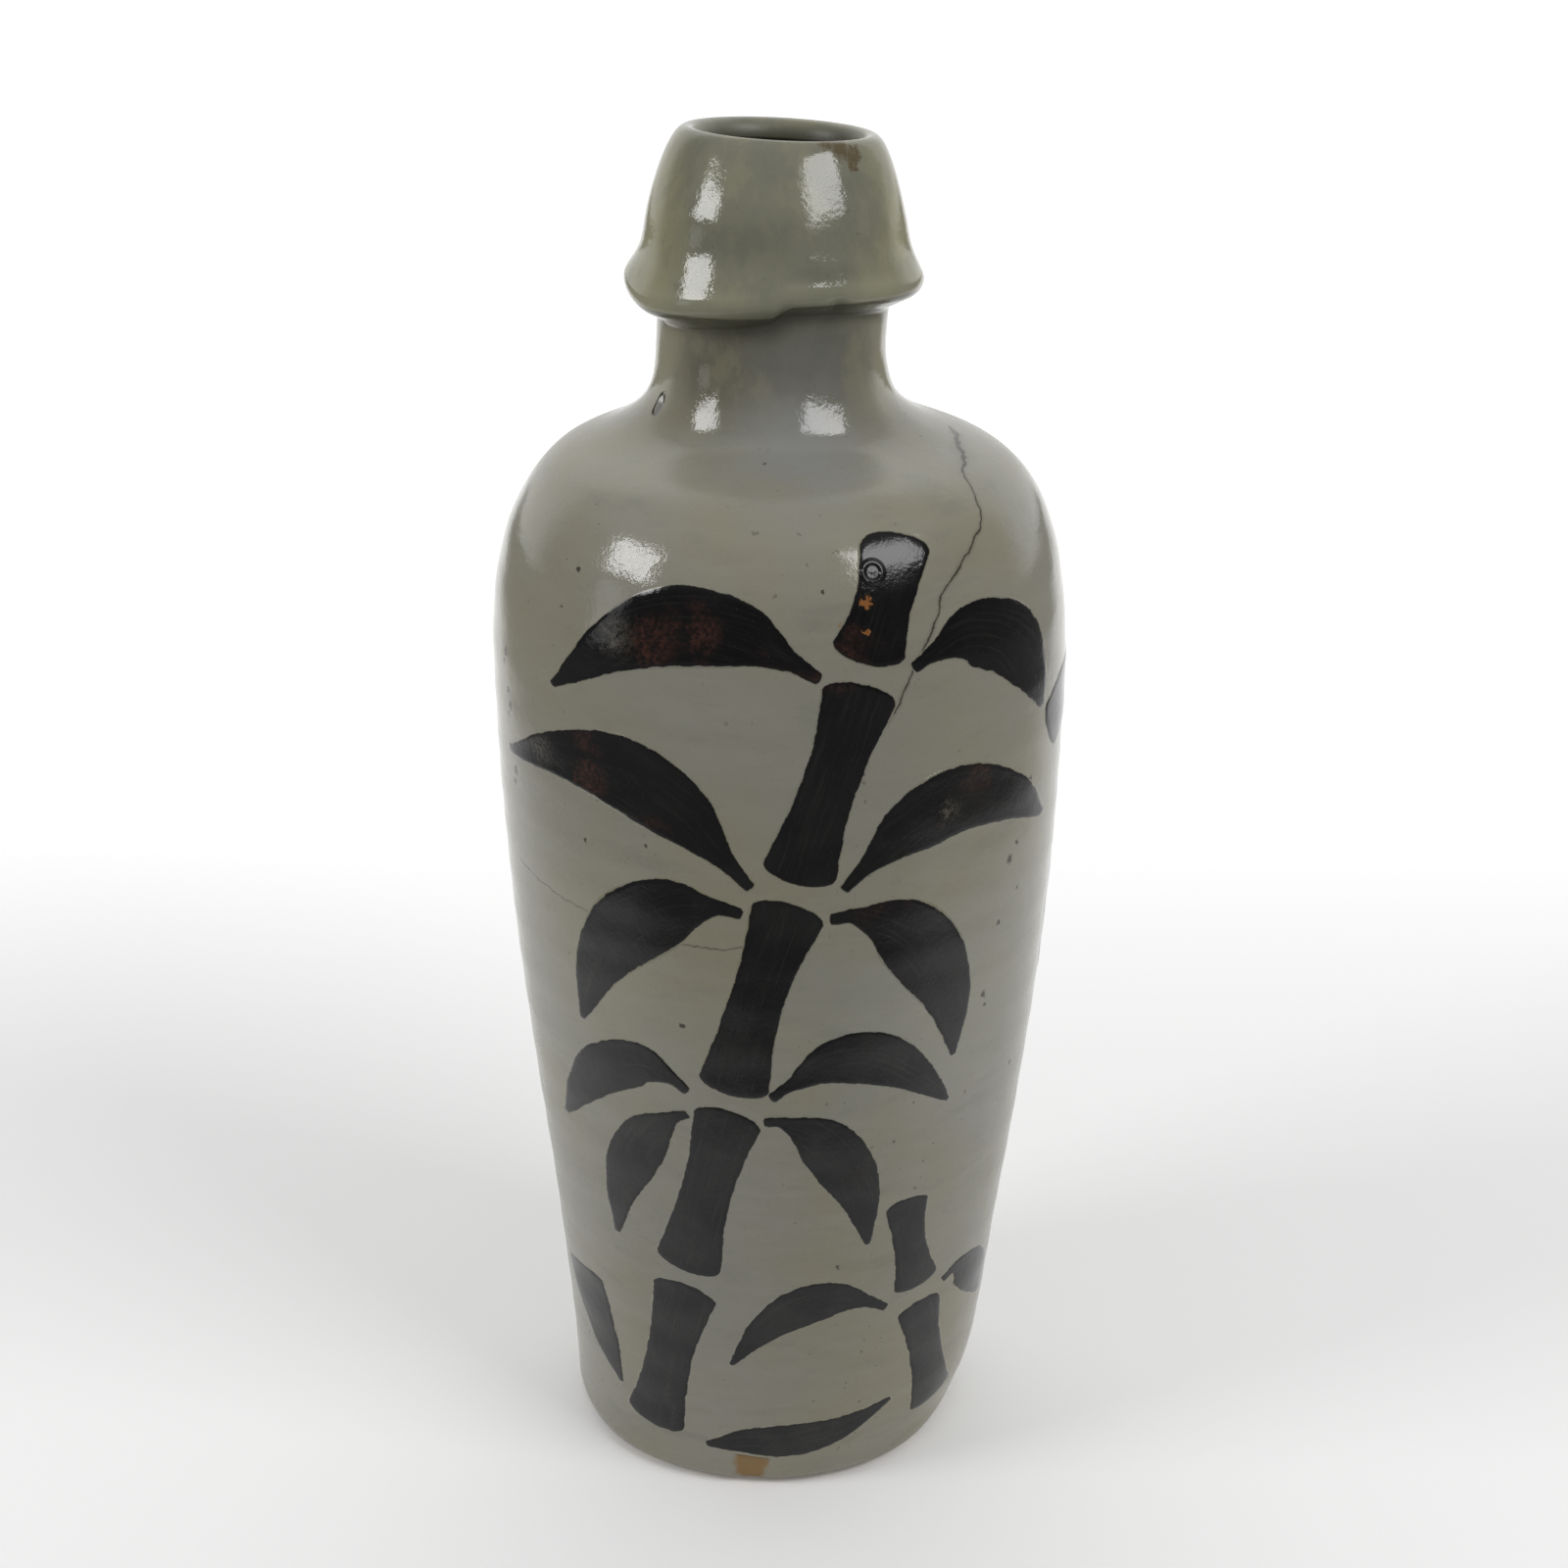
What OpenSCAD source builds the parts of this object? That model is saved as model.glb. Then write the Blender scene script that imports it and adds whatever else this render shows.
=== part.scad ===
// Stoneware sake bottle: a thrown body, a luted neck and a luted mouth collar,
// glazed outside and inside, with bamboo brushed on in iron pigment.
// Every wall is turned about Z from one side profile, walked from the foot up to the mouth.

/* [Body] */
// Height from the resting face to the crest of the lip
height = 295; // [290:1:305]
// Radius at the belly, the widest place
belly_r = 62.2; // [60:0.1:65]
// Height of the belly
belly_z = 184; // [178:1:188]
// Radius just above the rounded foot edge
foot_r = 46.2; // [43:0.1:50]
// Radius of the rounding between the foot and the wall
foot_round = 7.5; // [5:0.1:9]
// Lean of the wall outwards, just above the foot
wall_lean = 6.5; // [4:0.1:8]

/* [Shoulder and neck] */
// Radius where the shoulder turns into the neck
shoulder_r = 49.9; // [48:0.1:52]
// Height where the shoulder turns into the neck
shoulder_z = 226.7; // [224:0.1:229]
// Slope of the shoulder there
shoulder_slope = 43; // [38:1:48]
// Radius of the neck at its waist
neck_r = 24.1; // [23.5:0.1:25]
// Height of the neck waist
neck_z = 252; // [250:1:255]

/* [Mouth collar] */
// Height where the underside of the collar meets the neck
seam_z = 259; // [257:0.5:261]
// Radius of the bead around the lower edge of the collar
collar_r = 30.9; // [29:0.1:33]
// Rounding of that bead
bead_round = 3.7; // [3:0.1:4.2]
// Radius of the shoulder of the lip, 9 mm below the crest
lip_r = 24.6; // [23:0.1:26]
// Radius of the crest of the lip
crest_r = 19; // [18:0.1:20]
// Radius of the mouth and of the channel through the neck
bore_r = 16; // [14:0.1:16.5]

/* [Walls] */
// Thickness of the body wall with both coats of glaze
wall_t = 5.6; // [4:0.1:7]
// Thickness of the floor with its glaze
floor_t = 9; // [7:0.5:12]
// Fillet between the floor and the wall, inside
floor_round = 12; // [8:1:16]
// Thickness of each coat of glaze
glaze_t = 0.5; // [0.3:0.05:0.6]
// Thickness of the slip that joins two pieces of clay
slip_t = 0.6; // [0.4:0.1:1]
// Width of the flat ring that the bottle stands on
foot_ring_w = 9; // [6:0.5:12]
// Depth of the hollow turned into the base
base_hollow = 1.5; // [1:0.1:3]

/* [Brushwork] */
// How far a brush stroke stands above the glaze
stroke_h = 0.25; // [0.15:0.05:0.4]
// Turn of the spray painted on the right side, from the front
side_turn = 117; // [110:1:140]

/* [Hidden] */
$fn = 96;

// The neck goes up inside the collar as a spigot, in a sleeve of slip.
neck_joint_z = 236;
joint_lift = 0.2;
collar_joint_z = seam_z + joint_lift;
tube_top_z = 276;
socket_step = 0.7;
collar_socket_r = neck_r - socket_step;
tube_r = collar_socket_r - slip_t;
clay_bore_r = bore_r + glaze_t;

// The foot: the centre of its rounding, where the glaze stops on it and where a finger held it.
foot_c = [foot_r - foot_round * cos(wall_lean), foot_round - glaze_t];
glaze_line = -42;
finger_mark = [-4.4, 0, 5.6];
finger_mark_r = 4.6;

// The inside: the bottom of the straight channel and the blends into it and out of the floor.
channel_bottom_z = 240;
channel_pull = 10;
fillet_gap = 2;

stroke_depth = 3 * belly_r;
stroke_bluntness = 0.4;
cutter_margin = 1;

// How far each stretch of the side profile runs straight before it bends.
wall_pull = 81;
belly_pull = 58;
over_belly_pull = 24.3;
under_shoulder_pull = 9.7;
flare_pull = 13.5;
neck_pull = 20;
side_pull = 5;
lip_pull = 4.2;
crest_pull = 2.6;
rim_pull = 2;

// The collar: its bead, the lean of its side and its lip.
bead_rise = 5.8;
bead_start = -60;
bead_top = 25;
collar_lean = 15.5;
lip_drop = 9;
rim_drop = 4.5;

iron = [0.09, 0.09, 0.09];
clay = [0.55, 0.47, 0.36];
slip = [0.49, 0.43, 0.34];
glaze = [0.56, 0.55, 0.48];
lining = [0.45, 0.44, 0.37];

// Points on a circular arc, in the plane of radius and height.
function arc(c, r, from, to, steps) =
    [for (i = [0:steps]) let (a = from + (to - from) * i / steps) c + r * [cos(a), sin(a)]];

// Points on a cubic curve from a to d, pulled by b and c; the first point is left out.
function curve(a, b, c, d, steps) =
    [for (i = [1:steps]) let (t = i / steps, s = 1 - t)
        s * s * s * a + 3 * s * s * t * b + 3 * s * t * t * c + t * t * t * d];

function unit(v) = v / norm(v);
function left_of(v) = [-v[1], v[0]];
function reversed(list) = [for (i = [len(list) - 1:-1:0]) list[i]];

// The same path moved sideways by d, to the left of its direction, with mitred corners.
function inset(path, d) = [for (i = [0:len(path) - 1])
    let (
        last = len(path) - 1,
        before = left_of(unit(path[max(i, 1)] - path[max(i, 1) - 1])),
        after = left_of(unit(path[min(i, last - 1) + 1] - path[min(i, last - 1)]))
    ) path[i] + d * (before + after) / (1 + before * after)];

// Outer surface of the glaze, section by section.
wall_dir = [sin(wall_lean), cos(wall_lean)];
wall_out = [cos(wall_lean), -sin(wall_lean)];
wall_start = foot_c + foot_round * wall_out;
shoulder = [shoulder_r, shoulder_z];
shoulder_dir = [-cos(shoulder_slope), sin(shoulder_slope)];
bead_c = [collar_r - bead_round, seam_z + bead_rise];
bead_end = bead_c + bead_round * [cos(bead_top), sin(bead_top)];
lip = [lip_r, height - lip_drop];
lip_dir = [-sin(collar_lean), cos(collar_lean)];
crest = [crest_r, height];

foot_edge = arc(foot_c, foot_round, glaze_line, -wall_lean, 4);
wall = curve(wall_start, wall_start + wall_pull * wall_dir,
    [belly_r, belly_z - belly_pull], [belly_r, belly_z], 18);
round_shoulder = curve([belly_r, belly_z], [belly_r, belly_z + over_belly_pull],
    shoulder - under_shoulder_pull * shoulder_dir, shoulder, 12);
neck_flare = curve(shoulder, shoulder + flare_pull * shoulder_dir,
    [neck_r, neck_z - neck_pull], [neck_r, neck_z], 12);
bead = arc(bead_c, bead_round, bead_start, bead_top, 8);
collar_side = curve(bead_end, bead_end + side_pull * left_of([cos(bead_top), sin(bead_top)]),
    lip - side_pull * lip_dir, lip, 6);
lip_round = curve(lip, lip + lip_pull * lip_dir, crest + [crest_pull, 0], crest, 7);
lip_inside = curve(crest, crest - [rim_pull, 0],
    [bore_r, height - rim_pull], [bore_r, height - rim_drop], 5);

body_outside = concat(foot_edge, wall, round_shoulder);
outside = concat(body_outside, neck_flare, [[neck_r, seam_z]], bead, collar_side, lip_round, lip_inside);

// Inner surface of the lining, from the middle of the floor up to the mouth.
fillet_z = floor_t + floor_round * (1 - sin(wall_lean));
inner_foot = wall_start - wall_t * wall_out;
fillet_end = inner_foot + (fillet_z - inner_foot[1]) * [tan(wall_lean), 1];
fillet_c = fillet_end - floor_round * wall_out;
inner_shoulder = shoulder + wall_t * left_of(shoulder_dir);
inside = concat(
    [[0, floor_t]],
    arc(fillet_c, floor_round, -90, -wall_lean, 6),
    [for (p = inset(body_outside, wall_t)) if (p[1] > fillet_z + fillet_gap) p],
    curve(inner_shoulder, inner_shoulder + flare_pull * shoulder_dir,
        [bore_r, channel_bottom_z - channel_pull], [bore_r, channel_bottom_z], 10),
    [[bore_r, height - rim_drop]]
);

// Solid turned from a closed section: one path out and another path back.
module turned(out, back) {
    rotate_extrude() polygon(concat(out, reversed(back)));
}

// All the clay at once, before it is divided at its joints.
module whole_clay() {
    base = [
        [0, base_hollow],
        [foot_c[0] - foot_ring_w - base_hollow, base_hollow],
        [foot_c[0] - foot_ring_w, 0]
    ];
    bare_foot = arc(foot_c, foot_round - glaze_t, -90, glaze_line, 4);
    turned(concat(base, bare_foot, inset(outside, glaze_t)), inset(inside, -glaze_t));
}

// Disc about Z from z0 to z1.
module disc(z0, z1, r) {
    translate([0, 0, z0]) cylinder(h = z1 - z0, r = r);
}

// Thrown on the wheel in one piece: base, wall and shoulder.
module thrown_body() {
    color(clay) intersection() {
        whole_clay();
        disc(-cutter_margin, neck_joint_z, 2 * belly_r);
    }
}

// Ring of slip that the neck is luted on with.
module neck_slip() {
    color(slip) intersection() {
        whole_clay();
        disc(neck_joint_z, neck_joint_z + slip_t, 2 * belly_r);
    }
}

// Neck, with a spigot that goes up inside the collar.
module neck_tube() {
    color(clay) intersection() {
        whole_clay();
        union() {
            disc(neck_joint_z + slip_t, collar_joint_z, 2 * belly_r);
            disc(collar_joint_z - cutter_margin, tube_top_z, tube_r);
        }
    }
}

// Sleeve of slip around the spigot and over its end.
module collar_slip() {
    color(slip) difference() {
        disc(collar_joint_z, tube_top_z + slip_t, collar_socket_r);
        disc(collar_joint_z - cutter_margin, tube_top_z, tube_r);
        disc(collar_joint_z - cutter_margin, height, clay_bore_r);
    }
}

// Flared collar with its rolled lower edge and its lip.
module mouth_collar() {
    color(clay) difference() {
        whole_clay();
        disc(-cutter_margin, collar_joint_z, 2 * belly_r);
        disc(collar_joint_z - cutter_margin, tube_top_z + slip_t, collar_socket_r);
    }
}

// Coat of glaze outside, wiped off at the foot where a finger held the bottle.
module outer_glaze() {
    color(glaze) difference() {
        turned(outside, inset(outside, glaze_t));
        translate(finger_mark) rotate([90, 0, 0]) cylinder(h = belly_r, r = finger_mark_r);
    }
}

// Coat of glaze inside, up to the inner edge of the lip.
module inner_glaze() {
    color(lining) turned(inset(inside, -glaze_t), inside);
}

// One brush stroke as a flat outline. Each point is [x, z, half width].
function between(a, b, c, d, t) =
    (2 * b + (c - a) * t + (2 * a - 5 * b + 4 * c - d) * t * t + (3 * b - a - 3 * c + d) * t * t * t) / 2;
function smooth(points, steps) =
    let (last = len(points) - 1)
    let (p = concat([2 * points[0] - points[1]], points, [2 * points[last] - points[last - 1]]))
    concat([for (i = [0:last - 1]) for (k = [0:steps - 1])
        between(p[i], p[i + 1], p[i + 2], p[i + 3], k / steps)], [points[last]]);
function flat(p) = [p[0], p[1]];

// Half-round end of a stroke, flattened as a brush leaves it.
function stroke_end(p, ahead, half_w) =
    [for (a = [-60:30:60]) p - half_w * (sin(a) * left_of(ahead) - stroke_bluntness * cos(a) * ahead)];

module stroke(points) {
    line = smooth(points, 4);
    path = [for (p = line) flat(p)];
    last = len(path) - 1;
    ahead = [for (i = [0:last]) unit(path[min(i + 1, last)] - path[max(i - 1, 0)])];
    polygon(concat(
        [for (i = [0:last]) path[i] + line[i][2] * left_of(ahead[i])],
        stroke_end(path[last], ahead[last], line[last][2]),
        [for (i = [last:-1:0]) path[i] - line[i][2] * left_of(ahead[i])],
        stroke_end(path[0], -ahead[0], line[0][2])
    ));
}

// Strokes laid on the glaze, on the side of the bottle turned by angle from the front.
module brushed(strokes, turn = 0) {
    color(iron) for (points = strokes) intersection() {
        turned(inset(body_outside, -stroke_h), body_outside);
        rotate([0, 0, turn]) rotate([90, 0, 0]) linear_extrude(stroke_depth) stroke(points);
    }
}

// Main stem, a stroke from each joint of the bamboo to the next.
module iron_stem() {
    brushed([
        [[-26.5, 14, 6.6], [-25, 25, 5.3], [-23, 38, 5.3], [-20.5, 51, 7]],
        [[-19.5, 60, 7.2], [-17, 73, 5.6], [-14, 86, 5.6], [-11, 98, 7.2]],
        [[-9.5, 107.5, 7.4], [-6.5, 121, 5.8], [-2.5, 135, 5.8], [1.5, 147, 7.6]],
        [[4, 157, 7.6], [8, 170, 5.9], [12, 182, 5.9], [15.5, 193, 7.6]],
        [[17.5, 202.5, 7.4], [19.5, 209, 6], [21, 214, 6], [22.5, 220.5, 7.2]]
    ]);
}

// Three pairs of broad leaves, from the upper two joints of the stem.
module iron_leaves_upper() {
    brushed([
        [[26.5, 198, 1.2], [31, 200.5, 2.2], [38, 202.5, 6],
         [46, 199, 6.6], [51.5, 190.5, 4], [55, 181, 0.6]],
        [[7.5, 197.5, 1.2], [2, 201, 2.2], [-8, 206, 6.4],
         [-21, 206.5, 7.6], [-34, 200.5, 5], [-46, 190, 0.7]],
        [[13, 152.5, 1.2], [18, 157.5, 2.2], [26.5, 164.5, 6.6],
         [37, 168, 7.4], [48, 164, 4.8], [56, 156, 0.6]],
        [[-6, 153.5, 1.2], [-11, 159, 2.2], [-20, 168.5, 7],
         [-32, 175, 8], [-45, 175, 5], [-57, 170, 0.8]],
        [[10.5, 146, 1.2], [16, 146, 2.2], [24.5, 142, 6.8],
         [31, 133.5, 7.4], [35.5, 122, 4.8], [37, 108, 0.6]],
        [[-8, 147.5, 1.2], [-13.5, 148.5, 2.2], [-22, 147, 7],
         [-31, 140.5, 7.8], [-38, 129.5, 5], [-42, 115, 0.6]]
    ]);
}

// Two pairs of smaller leaves, from the next joint down.
module iron_leaves_middle() {
    brushed([
        [[-1.5, 104.5, 1.1], [3, 108, 1.8], [11, 112.5, 5.4],
         [20, 112, 6.2], [28.5, 106, 4], [36, 97, 0.6]],
        [[-19.5, 104.5, 1.1], [-23, 107, 1.8], [-29.5, 108.5, 5.2],
         [-37, 104.5, 5.6], [-42.5, 97, 3.6], [-47, 87, 0.6]],
        [[-3, 98.5, 1.1], [1.5, 98, 1.8], [8.5, 93.5, 5.8],
         [14, 85.5, 6.2], [17.5, 76, 4], [19, 65, 0.6]],
        [[-19.5, 98.5, 1.1], [-23, 96.5, 1.8], [-28, 91, 5],
         [-32, 82.5, 5.4], [-34.5, 73.5, 3.4], [-35.5, 62, 0.6]]
    ]);
}

// A young shoot beside the stem, its leaves and the grass below.
module iron_sprig_lower() {
    brushed([
        [[36, 14, 4.8], [34.5, 24, 3.8], [32.8, 34, 3.8], [31.2, 43, 4.9]],
        [[30.2, 51, 4.9], [29, 58.5, 3.8], [28, 66, 3.8], [27.5, 72.5, 4.8]],
        [[23.5, 46.5, 1], [19, 49.5, 1.8], [12, 51.5, 4.6],
         [4, 49.5, 5.2], [-3.5, 43.5, 3.4], [-10, 34, 0.5]],
        [[37, 47.5, 0.9], [39.5, 48.5, 1.6], [42.5, 46.5, 3.8], [45, 41, 3.4], [47, 33, 0.5]],
        [[-44, 43, 4.8], [-41.5, 35, 4.4], [-38.5, 27, 3.2], [-35, 19, 0.6]],
        [[-14.5, 10.5, 0.8], [-6, 12.5, 3.4], [4, 13, 4.6], [14, 14.5, 3.6], [26, 19.5, 0.6]]
    ]);
}

// The spray on the side, seen from the front only as one leaf end.
module iron_spray_side() {
    brushed([
        [[-46, 175, 6.6], [-38, 178.5, 7.4], [-26, 179.5, 5.6], [-14, 175, 2], [-8, 171, 1.2]],
        [[-4, 176, 1.2], [2, 181, 2.2], [11, 189, 6], [23, 195, 7], [34, 196, 4.6], [43, 193, 0.6]],
        [[-1, 165, 1.2], [5, 164, 2.2], [14, 160.5, 6.2],
         [24, 152.5, 7], [33, 141, 4.6], [39, 127, 0.6]],
        [[-8, 160, 1.2], [-11.5, 156.5, 2.2], [-18, 149, 6],
         [-25, 138.5, 6.8], [-30, 126.5, 4.4], [-33, 112, 0.6]],
        [[-9, 56, 5.4], [-7.5, 74, 4.4], [-6, 92, 4.4], [-5, 105, 5.6]],
        [[-4.5, 114, 5.6], [-3.5, 127, 4.4], [-2.5, 139, 4.4], [-2, 151, 5.6]]
    ], side_turn);
}

thrown_body();
neck_slip();
neck_tube();
collar_slip();
mouth_collar();
outer_glaze();
inner_glaze();
iron_stem();
iron_leaves_upper();
iron_leaves_middle();
iron_sprig_lower();
iron_spray_side();
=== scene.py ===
"""Stoneware sake bottle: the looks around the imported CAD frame.

Lengths are in millimetres inside the shape functions and in metres in Blender.
The front of the bottle faces -Y. Azimuth is measured from the front, towards +X.
"""
import math

import bpy
import numpy as np
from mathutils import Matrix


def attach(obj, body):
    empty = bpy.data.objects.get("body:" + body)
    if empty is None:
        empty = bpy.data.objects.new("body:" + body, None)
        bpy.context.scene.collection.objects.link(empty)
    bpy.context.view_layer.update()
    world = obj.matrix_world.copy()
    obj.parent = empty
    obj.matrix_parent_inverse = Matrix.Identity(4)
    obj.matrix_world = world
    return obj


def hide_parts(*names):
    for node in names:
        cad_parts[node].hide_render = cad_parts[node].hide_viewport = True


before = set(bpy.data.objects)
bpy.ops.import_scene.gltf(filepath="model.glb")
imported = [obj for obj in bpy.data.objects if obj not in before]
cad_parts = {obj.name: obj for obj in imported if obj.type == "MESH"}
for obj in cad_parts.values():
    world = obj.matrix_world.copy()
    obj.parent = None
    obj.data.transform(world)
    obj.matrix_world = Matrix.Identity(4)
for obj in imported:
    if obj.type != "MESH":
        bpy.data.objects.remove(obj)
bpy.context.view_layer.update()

MM = 0.001


# ---------------------------------------------------------------- side profile

HEIGHT = 295.0
BELLY_R, BELLY_Z = 62.2, 184.0
FOOT_R, FOOT_ROUND, WALL_LEAN = 46.2, 7.5, math.radians(6.5)
SHOULDER_R, SHOULDER_Z, SHOULDER_SLOPE = 49.9, 226.7, math.radians(43)
NECK_R, NECK_Z = 24.1, 252.0
SEAM_Z, COLLAR_R, BEAD_ROUND = 259.0, 30.9, 3.7
LIP_R, CREST_R, BORE_R = 24.6, 19.0, 16.0
WALL_T, FLOOR_T, FLOOR_ROUND, GLAZE_T, SLIP_T = 5.6, 9.0, 12.0, 0.5, 0.6
FOOT_RING_W, BASE_HOLLOW = 9.0, 1.5
NECK_JOINT_Z, COLLAR_JOINT_Z, TUBE_TOP_Z = 236.0, SEAM_Z + 0.2, 276.0
SOCKET_R = NECK_R - 0.7
TUBE_R = SOCKET_R - SLIP_T
GLAZE_LINE = math.radians(-42)
LIP_DROP, RIM_PULL, RIM_DROP = 9.0, 2.0, 4.5
RIM_ROWS = 8
BEAD_START, BEAD_TOP, BEAD_RISE = math.radians(-60), math.radians(25), 5.8
COLLAR_LEAN = math.radians(15.5)
CHANNEL_BOTTOM_Z, CHANNEL_PULL = 240.0, 10.0

# How far each stretch of the side profile runs straight before it bends.
WALL_PULL, BELLY_PULL, OVER_BELLY_PULL, UNDER_SHOULDER_PULL = 81.0, 58.0, 24.3, 9.7
FLARE_PULL, NECK_PULL, SIDE_PULL, LIP_PULL, CREST_PULL = 13.5, 20.0, 5.0, 4.2, 2.6


def turn(angle):
    return np.array([math.cos(angle), math.sin(angle)])


def left_of(v):
    return np.array([-v[1], v[0]])


def arc(centre, radius, start, end, steps):
    return np.array([centre + radius * turn(a) for a in np.linspace(start, end, steps + 1)])


def curve(a, b, c, d, steps):
    """Points on a cubic curve, without the first one."""
    a, b, c, d = (np.array(point) for point in (a, b, c, d))
    t = np.linspace(0, 1, steps + 1)[1:, None]
    s = 1 - t
    return s**3 * a + 3 * s * s * t * b + 3 * s * t * t * c + t**3 * d


def line(a, b, steps):
    t = np.linspace(0, 1, steps + 1)[1:, None]
    return np.array(a) + t * (np.array(b) - np.array(a))


def inset(path, d):
    """The path moved to its left by d, with mitred corners."""
    step = np.diff(path, axis=0)
    step /= np.linalg.norm(step, axis=1)[:, None]
    left = np.column_stack([-step[:, 1], step[:, 0]])
    before = np.vstack([left[:1], left])
    after = np.vstack([left, left[-1:]])
    return path + d * (before + after) / (1 + np.sum(before * after, axis=1))[:, None]


foot_c = np.array([FOOT_R - FOOT_ROUND * math.cos(WALL_LEAN), FOOT_ROUND - GLAZE_T])
wall_out = turn(-WALL_LEAN)
wall_dir = left_of(wall_out)
wall_start = foot_c + FOOT_ROUND * wall_out
shoulder = np.array([SHOULDER_R, SHOULDER_Z])
shoulder_dir = turn(math.pi - SHOULDER_SLOPE)
bead_c = np.array([COLLAR_R - BEAD_ROUND, SEAM_Z + BEAD_RISE])
bead_end = bead_c + BEAD_ROUND * turn(BEAD_TOP)
lip = np.array([LIP_R, HEIGHT - LIP_DROP])
lip_dir = left_of(turn(COLLAR_LEAN))
crest = np.array([CREST_R, HEIGHT])
rim = np.array([BORE_R, HEIGHT - RIM_DROP])
seam = np.array([NECK_R, SEAM_Z])

body_outside = np.vstack([
    arc(foot_c, FOOT_ROUND, GLAZE_LINE, -WALL_LEAN, 8),
    curve(wall_start, wall_start + WALL_PULL * wall_dir,
          [BELLY_R, BELLY_Z - BELLY_PULL], [BELLY_R, BELLY_Z], 84),
    curve([BELLY_R, BELLY_Z], [BELLY_R, BELLY_Z + OVER_BELLY_PULL],
          shoulder - UNDER_SHOULDER_PULL * shoulder_dir, shoulder, 40),
])
outside = np.vstack([
    body_outside,
    curve(shoulder, shoulder + FLARE_PULL * shoulder_dir,
          [NECK_R, NECK_Z - NECK_PULL], [NECK_R, NECK_Z], 30),
    line([NECK_R, NECK_Z], seam - [0, 0.6], 5),
    curve(seam - [0, 0.6], seam, seam, seam + [0.7, 0.4], 3),
    arc(bead_c, BEAD_ROUND, BEAD_START, BEAD_TOP, 12),
    curve(bead_end, bead_end + SIDE_PULL * left_of(turn(BEAD_TOP)), lip - SIDE_PULL * lip_dir, lip, 18),
    curve(lip, lip + LIP_PULL * lip_dir, crest + [CREST_PULL, 0], crest, 14),
    curve(crest, crest - [RIM_PULL, 0], [BORE_R, HEIGHT - RIM_PULL], rim, RIM_ROWS),
])

fillet_z = FLOOR_T + FLOOR_ROUND * (1 - math.sin(WALL_LEAN))
inner_foot = wall_start - WALL_T * wall_out
fillet_end = inner_foot + (fillet_z - inner_foot[1]) * np.array([math.tan(WALL_LEAN), 1])
fillet_c = fillet_end - FLOOR_ROUND * wall_out
inner_shoulder = shoulder + WALL_T * left_of(shoulder_dir)
inner_wall = inset(body_outside, WALL_T)[::2]
inside = np.vstack([
    line([0, FLOOR_T], [fillet_c[0] - 1, FLOOR_T], 8) - [fillet_c[0] / 8, 0],
    arc(fillet_c, FLOOR_ROUND, -math.pi / 2, -WALL_LEAN, 10),
    inner_wall[inner_wall[:, 1] > fillet_z + 2],
    curve(inner_shoulder, inner_shoulder + FLARE_PULL * shoulder_dir,
          [BORE_R, CHANNEL_BOTTOM_Z - CHANNEL_PULL], [BORE_R, CHANNEL_BOTTOM_Z], 20),
    line([BORE_R, CHANNEL_BOTTOM_Z], rim, 20),
])
inside[0] = [0, FLOOR_T]

clay_outside = inset(outside, GLAZE_T)
clay_inside = inset(inside, -GLAZE_T)


# ---------------------------------------------------------------- the hand of the potter

# Slow lumps in the wall: how many around, how fast they change with height, and where they start.
lumps = np.random.default_rng(7)
LUMPS = []
for _ in range(14):
    LUMPS.append((lumps.integers(1, 6), lumps.uniform(0.02, 0.16), lumps.uniform(0, 2 * math.pi)))

SWELL_SIZE = 0.16
COLLAR_SWELL_SIZE = 0.22
RING_SIZE, RING_SPACING = 0.05, 11

# Dents and bulges: how much in mm, azimuth and its width in radians, height and its width in mm.
BULGES = [
    (1.9, -1.6, 0.7, 233.5, 4.5),
    (-0.8, 1.6, 0.7, 240, 5),
    (-1.7, 1.15, 0.6, 4, 7),
]


def smooth_step(v, low, high):
    t = np.clip((v - low) / (high - low), 0, 1)
    return t * t * (3 - 2 * t)


def bell(v, middle, width):
    return np.exp(-((v - middle) / width) ** 2)


def collar_edge(azimuth):
    """How far the lower edge of the collar stands above its true height, in mm."""
    lap = smooth_step(azimuth, 0.5, -0.35) * smooth_step(azimuth, -1.9, -1.0)
    lap_end = smooth_step(azimuth, 0.08, -0.02)
    wavy = 0.25 * np.sin(2 * azimuth + 0.4) + 0.12 * np.sin(5 * azimuth)
    raised = 2.6 * bell(azimuth, 0.15, 0.85) + 1.1 * bell(azimuth, -1.57, 0.5)
    return raised - lap * (0.9 + 1.7 * lap_end) - wavy


def collar_side(azimuth, z):
    """How far the side of the collar stands out from its true radius, in mm."""
    facing = smooth_step(np.abs(azimuth), 1.3, 0.7)
    left = smooth_step(azimuth, 0.25, -0.2)
    right = facing * (1 - left)
    out = 0.35 * bell(z, 282, 7)
    out -= 0.45 * (1 - right) * bell(z, 271.5 + 2.5 * facing * left, 4)
    out -= 1.15 * facing * smooth_step(z, 277, 291)
    out -= right * bell(z, 265.5, 4)
    out += 0.8 * bell(azimuth, -1.6, 0.8) * bell(z, 265, 6)
    notch = bell(azimuth, 0.46, 0.06) * bell(z, 261.4, 1.7)
    return out - 1.1 * notch


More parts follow.
